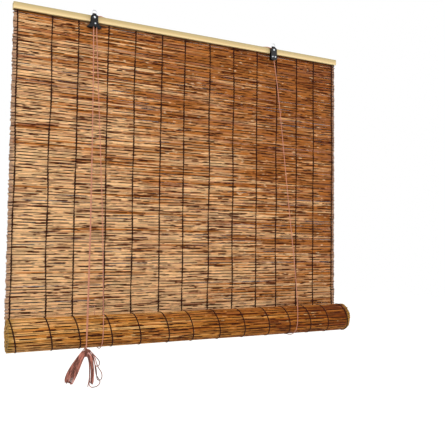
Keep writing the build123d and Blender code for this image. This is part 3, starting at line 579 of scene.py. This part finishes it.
def braidedCord(name, finish):
    material, tree = newMaterial(name)
    place = addNode(tree, "ShaderNodeAttribute", attribute_name="strandPlace").outputs["Vector"]
    split = addNode(tree, "ShaderNodeSeparateXYZ", {0: place})
    waves = []
    for way in (-1, 1):
        around = addNode(tree, "ShaderNodeMath", {0: split.outputs[1], 1: way * finish["strandsAround"]},
                         operation="MULTIPLY")
        turns = addNode(tree, "ShaderNodeMath",
                        {0: split.outputs[0], 1: 1000 / finish["strand"], 2: around.outputs[0]},
                        operation="MULTIPLY_ADD")
        angle = addNode(tree, "ShaderNodeMath", {0: turns.outputs[0], 1: 2 * math.pi}, operation="MULTIPLY")
        waves.append(addNode(tree, "ShaderNodeMath", {0: angle.outputs[0]}, operation="SINE").outputs[0])
    braid = addNode(tree, "ShaderNodeMath", {0: waves[0], 1: waves[1]}, operation="MULTIPLY")
    share = addNode(tree, "ShaderNodeMapRange", {"Value": braid.outputs[0], "From Min": -1.0})
    plain = addNode(tree, "ShaderNodeMix",
                    {0: share.outputs[0], 6: linear(finish["shade"]), 7: linear(finish["colour"])},
                    data_type="RGBA")
    # Painted shade on the wound-up hank: a noise by place mixes shadowed and lit tones
    wound = addNode(tree, "ShaderNodeAttribute", attribute_name="wound").outputs["Fac"]
    woundShare = addNode(tree, "ShaderNodeMath", {0: wound, 1: finish["woundMost"]}, operation="MULTIPLY")
    spot = addNode(tree, "ShaderNodeTexCoord").outputs["Object"]
    across, down = 1000 / finish["hankShadeWidth"], 1000 / finish["hankShadeLength"]
    at = addNode(tree, "ShaderNodeVectorMath", {0: spot, 1: (across, across, down)}, operation="MULTIPLY")
    turn = addNode(tree, "ShaderNodeMath", {0: split.outputs[0], 1: finish["hankShadeShift"]},
                   operation="MULTIPLY")
    stained = addNode(tree, "ShaderNodeTexNoise",
                      {"Vector": at.outputs[0], "W": turn.outputs[0], "Scale": 1.0, "Detail": 2.0},
                      noise_dimensions="4D")
    low, high = finish["hankShadeLimits"]
    hankShadeShare = addNode(tree, "ShaderNodeMapRange",
                    {"Value": stained.outputs["Fac"], "From Min": low, "From Max": high})
    woundTone = addNode(tree, "ShaderNodeMix",
                        {0: hankShadeShare.outputs[0], 6: linear(finish["hank"]), 7: linear(finish["hankLight"])},
                        data_type="RGBA")
    colour = addNode(tree, "ShaderNodeMix",
                     {0: woundShare.outputs[0], 6: plain.outputs[2], 7: woundTone.outputs[2]},
                     data_type="RGBA")
    bump = addNode(tree, "ShaderNodeBump", {"Height": share.outputs[0], "Strength": finish["bump"],
                                            "Distance": finish["bumpDepth"]})
    finishMaterial(tree, {"Base Color": colour.outputs[2], "Roughness": finish["roughness"], "IOR": 1.5,
                          "Normal": bump.outputs[0]})
    return material


cordMaterial = braidedCord("braided cotton cord", cordFinish)
cords = {
    "diameter": 2.5 * mm,
    "sides": 8,
    "steps": 8,
    "liftStart": (0, 0, -0.056),
    "liftEnd": (0, 0, -1.001),
    "apart": 0.05 * mm,      # points of a line nearer than this count as one
    "woundFrom": -1.035,     # height below which a cord is wound up and given painted shade
    "woundOver": 0.02,
}

# Routes of the cords, in metres; every point is a control point of a smooth line
leftLiftRoute = [
    (-0.336, 0.0255, -0.014), (-0.336, 0.0255, -0.046), (-0.3312, 0.0218, -1.024),
    (-0.3312, -0.0114, -1.0558),
    (-0.3312, -0.0574, -1.0537), (-0.3312, -0.0877, -1.0191), (-0.3324, -0.0767, -0.8695),
    (-0.3327, -0.0578, -0.6724), (-0.3404, -0.0304, -0.3813), (-0.3471, -0.0103, -0.1559),
    (-0.3495, -0.0024, -0.062), (-0.3495, -0.0024, -0.0346), (-0.3495, -0.0024, -0.0196),
    (-0.3546, -0.0024, -0.0151), (-0.3613, -0.0024, -0.016), (-0.3651, -0.0024, -0.0215),
    (-0.3585, -0.0024, -0.048), (-0.3585, -0.0024, -0.056),
]
rightLiftRoute = [
    (0.322, 0.0255, -0.014), (0.322, 0.0255, -0.046), (0.3232, 0.0251, -0.2752), (0.3362, 0.0246, -0.6381),
    (0.3539, 0.0218, -1.024), (0.3576, -0.0116, -1.0558), (0.3614, -0.0576, -1.0536),
    (0.3651, -0.0878, -1.0188), (0.3624, -0.0751, -0.858), (0.3494, -0.0534, -0.6387),
    (0.3396, -0.0344, -0.448), (0.3244, -0.0074, -0.1591),
    (0.3101, 0.0024, -0.0475), (0.3172, 0.0024, -0.0213), (0.3127, 0.0024, -0.0155), (0.297, 0.0026, -0.0155),
    (0.287, 0.0054, -0.0126), (0.276, 0.0125, -0.0126), (0.255, 0.0180, -0.0125), (-0.303, 0.0180, -0.0125),
    (-0.324, 0.0125, -0.0126), (-0.335, 0.0054, -0.0126),
    (-0.345, 0.0026, -0.0155), (-0.3607, 0.0024, -0.0155), (-0.3652, 0.0024, -0.0213),
    (-0.3585, 0.0024, -0.048), (-0.3585, 0.0024, -0.056),
]
frontPullRoute = [
    (-0.3585, -0.0024, -0.0561), (-0.3593, -0.0125, -0.179), (-0.3634, -0.0306, -0.3868),
    (-0.3705, -0.0578, -0.6798), (-0.3775, -0.0752, -0.8593), (-0.3832, -0.0882, -1.001),
]
rearPullRoute = [
    (-0.3585, 0.0024, -0.0561), (-0.3589, -0.0084, -0.179), (-0.3623, -0.0276, -0.3868),
    (-0.3684, -0.0562, -0.6798), (-0.3748, -0.0745, -0.8593), (-0.38, -0.0882, -1.001),
]


# Reads the smooth line of a route, as a NURBS spline gives it
def smoothLine(route, steps):
    curve = bpy.data.curves.new("route", "CURVE")
    curve.dimensions = "3D"
    spline = curve.splines.new("NURBS")
    spline.points.add(len(route) - 1)
    for point, place in zip(spline.points, route):
        point.co = (*place, 1)
    spline.order_u = 3
    spline.use_endpoint_u = True
    spline.resolution_u = steps
    holder = bpy.data.objects.new("route", curve)
    line = bpy.data.meshes.new_from_object(holder)
    points = [tuple(vertex.co) for vertex in line.vertices]
    bpy.data.objects.remove(holder)
    bpy.data.curves.remove(curve)
    bpy.data.meshes.remove(line)
    kept = [points[0]]
    for point in points[1:]:
        if math.dist(point, kept[-1]) > cords["apart"]:
            kept.append(point)
    return kept


# Hank: long turns hung over their tie, in millimetres from the middle of its neck: across, up, back.
# Each turn goes down in front and comes up behind, or the other way, and keeps its place in the neck
hank = {
    "neck": (-0.3836, -0.08825, -1.0552),
    "neckHalf": 3.4,
    "strandPitch": 2.65,
    "neckDepth": 2.2,
    "middleLane": 3.5,       # strands lie in lanes 0 to 7, from the top of the neck down
    "leftLanes": 8,
    "rightFirst": 1.5,       # the right lobe's plain turns lie in the lanes from here on
    "rightLanes": 6,
    "spread": [3.0, 4.6, 6.2, 7.4, 7.6],     # how far before or behind the middle the turns hang
    "leftOuter": [(-15, 2.5), (-30, -16), (-46, -37), (-58, -60), (-61.5, -79)],
    "leftInner": [(-8.2, -20), (-14.5, -36), (-22, -56), (-31, -74), (-39, -88)],
    "rightOuter": [(13, 4), (21, -14), (25, -37), (26, -63), (23.5, -95)],
    "rightInner": [(7.4, -19.5), (11.3, -35.3), (13.5, -58), (14, -78), (13.5, -93)],
    "uneven": 2.6,           # how much longer or shorter a turn may be
    "seed": 5,
}
shortLoop = [
    (11.5, 5, 3), (20, -3.5, 3), (30, -15, 1), (38.5, -24.5, -1), (42, -33.5, -2.5), (37, -42.5, -4),
    (28, -41, -5.2), (24.5, -30, -5.5), (22, -20, -5.5), (17, -9, -4.5), (10.5, 1.5, -3),
]
longLoop = [
    (12, 4.5, -2.5), (22, -7, -1.5), (28.5, -20, -0.5), (32.5, -34.5, 0), (36.5, -44, 0.5), (43.5, -55, 0.8),
    (48.5, -62.5, 1), (50.5, -73, 1.2), (47.8, -84.5, 2), (37.2, -84.5, 3.8), (34.8, -73, 4.8),
    (34.5, -59, 6), (32.5, -46, 7), (29, -37, 7.5), (25, -25, 7), (20, -11, 5.5), (12, -1, 3.5),
]
wideLoop = [
    (8, -15, 3), (12, -34, 4.5), (13.4, -58, 5), (13, -80, 4.5), (12, -96, 3.5), (18, -103, 1.5),
    (27, -102.5, 0), (35.5, -100.5, -1), (42, -94.5, -2), (43.6, -86, -2.5), (38.5, -78, -2.6),
    (31.5, -67.5, -2), (29, -51, -1.2), (27, -33, -0.4), (23.5, -15, 0.5), (16.5, 0, 0.8), (9.5, 8.6, 1.9),
    (1.5, 9.3, 2.2),
]
looseTail = [
    (7.5, -14, -2.6), (11.2, -28, -3.2), (12.6, -46, -3.6), (12.0, -64, -3.6), (10, -82, -3.2),
    (6.8, -99, -2.8),
]


def neckPoint(way, lane, side):
    up = hank["strandPitch"] * (hank["middleLane"] - lane)
    return (way * hank["neckHalf"], up, side * hank["neckDepth"])


def lobeTurn(lobe, lanes, side, longer):
    runs = []
    for lane, behind in zip(lanes, (side, -side)):
        if lobe == "left":
            share = (lane + (0.5 if behind < 0 else 1.0)) / hank["leftLanes"]
        else:
            share = (lane - hank["rightFirst"]) / hank["rightLanes"]
        run = []
        for outer, inner, deep in zip(hank[lobe + "Outer"], hank[lobe + "Inner"], hank["spread"]):
            run.append([a + (b - a) * share for a, b in zip(outer, inner)] + [behind * deep])
        (x, z, _), (lastX, lastZ, _) = run[-2:]
        size = math.hypot(lastX - x, lastZ - z)
        run[-1][0] += (lastX - x) / size * longer
        run[-1][1] += (lastZ - z) / size * longer
        runs.append([tuple(point) for point in run])
    return runs[0] + runs[1][::-1]


# side is -1 where the cord goes down the front; rights are the loose loops, or None for a plain turn
def hankTurns(start, side, lefts, rights):
    chance = random.Random(hank["seed"] - side)
    route = list(start)
    for number, (lanes, right) in enumerate(zip(lefts, rights)):
        route += [neckPoint(-1, lanes[0], side)] if number else []
        route += lobeTurn("left", lanes, side, chance.uniform(-1, 1) * hank["uneven"])
        route += [neckPoint(-1, lanes[1], -side), neckPoint(1, lanes[1], -side)]
        following = lefts[number + 1][0] if number + 1 < len(lefts) else None
        if right is None:
            longer = chance.uniform(-1, 1) * hank["uneven"] - number
            route += lobeTurn("right", (lanes[1], following), -side, longer)
        else:
            route += right
        if following is not None:
            route.append(neckPoint(1, following, side))
    return route


frontTurns = hankTurns([(0.4, 29, -3), (0.0, 15.5, -8.0), (-6.5, 6, -8.0)], -1,
                       [(0, 1), (2, 2), (4, 4), (6, 6)], [shortLoop, None, None, wideLoop])
rearTurns = hankTurns([(2.6, 29, 3), (1.6, 15.5, 8.0), (-5.5, 6, 8.0)], 1,
                      [(0, 1), (3, 3), (5, 5), (7, 7)], [longLoop, None, None, looseTail])


def hankPoints(turns):
    nx, ny, nz = hank["neck"]
    return [(nx + x * mm, ny + back * mm, nz + up * mm) for x, up, back in turns]


def cordPiece(name, route, nodeNames):
    path = smoothLine(route, cords["steps"])
    piece = tubePiece(name, [path], cords["diameter"] / 2, cords["sides"], cordMaterial)
    heights = np.array([vertex.co.z for vertex in piece.data.vertices])
    wound = piece.data.attributes.new("wound", "FLOAT", "POINT")
    share = np.clip((cords["woundFrom"] - heights) / cords["woundOver"], 0, 1)
    wound.data.foreach_set("value", share.astype(np.float32))
    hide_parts(*nodeNames)
    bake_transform(piece)


cordPiece("left_lift_loop", leftLiftRoute, ["left_lift_cord"])
cordPiece("right_lift_loop", rightLiftRoute, ["right_lift_cord"])
frontRoute = frontPullRoute + hankPoints(frontTurns)
rearRoute = rearPullRoute + hankPoints(rearTurns)
cordPiece("front_pull_cord", frontRoute, ["pull_cord_front", "cord_hank"])
cordPiece("rear_pull_cord", rearRoute, ["pull_cord_rear"])
print("stage 5: cords")


# The tie: a few wound turns of the same cord round the neck of the hank
tie = {
    "halfDepth": 4.9,        # mm
    "halfHeight": 11.9,      # mm
    "turns": 2.6,
    "pitch": 2.0,            # mm
    "radius": 1.05,          # mm
    "steps": 26,             # to a turn
    "start": 0.6,            # radians
}


def tiePath():
    nx, ny, nz = hank["neck"]
    path = []
    count = int(tie["turns"] * tie["steps"])
    for step in range(count + 1):
        turned = step / tie["steps"]
        angle = 2 * math.pi * turned + tie["start"]
        c, s = math.cos(angle), math.sin(angle)
        bulge = (abs(c) ** 4 + abs(s) ** 4) ** -0.25
        x = (turned - tie["turns"] / 2) * tie["pitch"] * mm
        path.append((nx + x, ny - c * bulge * tie["halfDepth"] * mm, nz + s * bulge * tie["halfHeight"] * mm))
    return path


tieTurns = tubePiece("hank_tie_turns", [tiePath()], tie["radius"] * mm, cords["sides"], cordMaterial)
# The tie takes the hank's painted shade in full
tieWound = tieTurns.data.attributes.new("wound", "FLOAT", "POINT")
tieWound.data.foreach_set("value", np.ones(len(tieTurns.data.vertices), np.float32))
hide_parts("hank_tie")
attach(tieTurns, "carriage")


# Pine: planed and left bare, so it is pale and dry with fine straight grain
pineFinish = {
    "early": "#ECD3A2",
    "late": "#DDBD82",
    "top": "#A3976A",        # painted shade along its upper edge
    "footHighlight": "#FFE9AE",       # painted highlight along the planed lower edge
    "grainPitch": 2.6,       # mm
    "grainLength": 240,      # mm
    "fineScale": 0.5,
    "wideScale": 0.13,
    "grainLimits": (0.8, 1.3),
    "topZ": -0.0145,         # heights at which a tone is strongest, and between them the one without either
    "middleZ": -0.0285,
    "footHighlightZ": -0.0335,
    "edgeMost": 0.8,
    "roughness": 0.62,
    "bump": 0.2,
    "bumpDepth": 0.2 * mm,
}


def planedPine(name, finish):
    material, tree = newMaterial(name)
    place = addNode(tree, "ShaderNodeTexCoord").outputs["Object"]
    along, across = 1000 / finish["grainLength"], 1000 / finish["grainPitch"]
    at = addNode(tree, "ShaderNodeVectorMath", {0: place, 1: (along, across, across)}, operation="MULTIPLY")
    grain = addNode(tree, "ShaderNodeTexNoise",
                    {"Vector": at.outputs[0], "Scale": finish["fineScale"], "Detail": 3.0})
    wide = addNode(tree, "ShaderNodeTexNoise",
                   {"Vector": at.outputs[0], "Scale": finish["wideScale"], "Detail": 1.0})
    both = addNode(tree, "ShaderNodeMath", {0: grain.outputs["Fac"], 1: wide.outputs["Fac"]}, operation="ADD")
    low, high = finish["grainLimits"]
    share = addNode(tree, "ShaderNodeMapRange", {"Value": both.outputs[0], "From Min": low, "From Max": high})
    colour = addNode(tree, "ShaderNodeMix",
                     {0: share.outputs[0], 6: linear(finish["early"]), 7: linear(finish["late"])},
                     data_type="RGBA")
    height = addNode(tree, "ShaderNodeSeparateXYZ", {0: place}).outputs[2]
    # Painted shade along the top edge and a painted highlight along the lower edge
    for tone in ("top", "footHighlight"):
        near = addNode(tree, "ShaderNodeMapRange",
                       {"Value": height, "From Min": finish["middleZ"], "From Max": finish[tone + "Z"],
                        "To Max": finish["edgeMost"]})
        colour = addNode(tree, "ShaderNodeMix",
                         {0: near.outputs[0], 6: colour.outputs[2], 7: linear(finish[tone])},
                         data_type="RGBA")
    bump = addNode(tree, "ShaderNodeBump", {"Height": grain.outputs["Fac"], "Strength": finish["bump"],
                                            "Distance": finish["bumpDepth"]})
    finishMaterial(tree, {"Base Color": colour.outputs[2], "Roughness": finish["roughness"], "IOR": 1.5,
                          "Normal": bump.outputs[0]})
    return material


# Metal and plastic: one colour, with the small unevenness that its making leaves
hardFinishes = {
    "black painted steel": {        # dipped, so soft-edged gloss over folded sheet
        "colour": "#050506", "second": "#0B0B0D", "metallic": 0.0, "roughness": 0.34,
        "grain": 1.6, "bump": 0.12, "specular": 0.3,
    },
    "zinc plated steel": {          # drawn wire and pressed heads, bright with a cloudy bloom
        "colour": "#C9CBCE", "second": "#AEB2B8", "metallic": 1.0, "roughness": 0.28,
        "grain": 0.9, "bump": 0.06, "specular": 0.5,
    },
    "moulded nylon": {              # smooth from the mould, a little waxy
        "colour": "#1A1A1B", "second": "#232325", "metallic": 0.0, "roughness": 0.45,
        "grain": 0.7, "bump": 0.08, "specular": 0.4,
    },
}


roughSpread = (0.75, 1.3)    # shares of a roughness between which it changes


def hardSurface(name, finish):
    material, tree = newMaterial(name)
    place = addNode(tree, "ShaderNodeTexCoord").outputs["Object"]
    cloud = addNode(tree, "ShaderNodeTexNoise",
                    {"Vector": place, "Scale": 1000 / finish["grain"] / 4, "Detail": 2.0}).outputs["Fac"]
    colour = addNode(tree, "ShaderNodeMix",
                     {0: cloud, 6: linear(finish["colour"]), 7: linear(finish["second"])}, data_type="RGBA")
    least, most = (finish["roughness"] * share for share in roughSpread)
    rough = addNode(tree, "ShaderNodeMapRange", {"Value": cloud, "To Min": least, "To Max": most})
    bump = addNode(tree, "ShaderNodeBump",
                   {"Height": cloud, "Strength": finish["bump"], "Distance": 0.1 * mm})
    inputs = {"Base Color": colour.outputs[2], "Metallic": finish["metallic"], "Roughness": rough.outputs[0],
              "Specular IOR Level": finish["specular"], "Normal": bump.outputs[0]}
    finishMaterial(tree, inputs)
    return material


pine = planedPine("planed pine", pineFinish)
blackSteel, zincSteel, nylon = (hardSurface(name, finish) for name, finish in hardFinishes.items())
solidFinishes = {
    pine: ["front_batten", "back_batten"],
    blackSteel: ["left_cage", "right_cage", "lock_cam"],
    zincSteel: ["batten_nails", "left_bail", "right_bail", "left_axle_screw", "right_axle_screw", "cam_pin",
                "guide_pins", "axle_nuts"],
    nylon: ["left_wheel", "right_wheel"],
}
for material, names in solidFinishes.items():
    for name in names:
        for slot in nodes[name].material_slots:
            slot.material = material
print("stage 6: finishes of the rigid pieces")


# Knots that hold the lift cords above the back batten
knot = {
    "places": {"left": -0.336, "right": 0.322},
    "y": 0.0255,
    "z": -0.0113,
    "size": 0.72 * mm,
    "radius": 1.05 * mm,
    "steps": 72,
    "rise": 1.6,
}
for side, x in knot["places"].items():
    path = []
    for angle in np.linspace(0, 2 * math.pi, knot["steps"] + 1)[:-1]:
        across = math.sin(angle) + 2 * math.sin(2 * angle)
        back = math.cos(angle) - 2 * math.cos(2 * angle)
        up = -knot["rise"] * math.sin(3 * angle)
        path.append((x + across * knot["size"], knot["y"] + back * knot["size"],
                     knot["z"] + up * knot["size"]))
    turns = tubePiece(f"{side}_knot_turns", [path + path[:1]], knot["radius"], cords["sides"],
                      cordMaterial)
    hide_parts(f"{side}_anchor_knot")
    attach(turns, "headrail")


# Stage: a pale floor well below the hank, soft lamps and a white surrounding
stage = {
    "floorZ": -2.2,
    "floorSize": 12.0,
    "floorColour": "#F2F0EC",
    "floorGlow": 0.75,       # for the camera and reflections alone
    "keyPlace": (-1.9, -3.2, 1.5),
    "keySize": 2.6,
    "keyPower": 104,
    "fillPlace": (2.6, -2.2, 0.2),
    "fillSize": 2.2,
    "fillPower": 30,
    "aim": (0.0, 0.0, -0.55),
    "worldLight": 0.42,
}


# 1 for a ray from the camera, a gloss or a clear surface, and 0 for one that only brings light
def seenShare(tree):
    rays = addNode(tree, "ShaderNodeLightPath")
    seen = rays.outputs["Is Camera Ray"]
    for kind in ("Is Glossy Ray", "Is Transmission Ray"):
        wider = addNode(tree, "ShaderNodeMath", {0: seen, 1: rays.outputs[kind]}, operation="MAXIMUM")
        seen = wider.outputs[0]
    return seen


def setStage():
    size = stage["floorSize"]
    mesh = bpy.data.meshes.new("floor")
    mesh.from_pydata([(-size, -size, stage["floorZ"]), (size, -size, stage["floorZ"]),
                      (size, size, stage["floorZ"]), (-size, size, stage["floorZ"])], [], [(0, 1, 2, 3)])
    floor = bpy.data.objects.new("floor", mesh)
    bpy.context.scene.collection.objects.link(floor)
    material, tree = newMaterial("matt paper floor")
    diffuse = addNode(tree, "ShaderNodeBsdfDiffuse", {"Color": linear(stage["floorColour"])})
    strength = addNode(tree, "ShaderNodeMath", {0: seenShare(tree), 1: stage["floorGlow"]},
                       operation="MULTIPLY")
    glow = addNode(tree, "ShaderNodeEmission", {"Color": (1, 1, 1, 1), "Strength": strength.outputs[0]})
    both = addNode(tree, "ShaderNodeAddShader", {0: diffuse.outputs[0], 1: glow.outputs[0]})
    addNode(tree, "ShaderNodeOutputMaterial", {"Surface": both.outputs[0]})
    mesh.materials.append(material)
    for name in ("key", "fill"):
        data = bpy.data.lights.new(name, "AREA")
        data.size = stage[name + "Size"]
        data.energy = stage[name + "Power"]
        lamp = bpy.data.objects.new(name, data)
        lamp.location = stage[name + "Place"]
        way = Vector(stage["aim"]) - Vector(stage[name + "Place"])
        lamp.rotation_euler = way.to_track_quat("-Z", "Y").to_euler()
        bpy.context.scene.collection.objects.link(lamp)
    world = bpy.data.worlds.new("studio")
    world.use_nodes = True
    tree = world.node_tree
    tree.nodes.clear()
    strength = addNode(tree, "ShaderNodeMapRange",
                       {"Value": seenShare(tree), "To Min": stage["worldLight"], "To Max": 1.0})
    back = addNode(tree, "ShaderNodeBackground", {"Color": (1, 1, 1, 1), "Strength": strength.outputs[0]})
    addNode(tree, "ShaderNodeOutputWorld", {"Surface": back.outputs[0]})
    bpy.context.scene.world = world
    bpy.context.scene.view_settings.view_transform = "Standard"


setStage()
print("stage 7: floor, lamps and world")
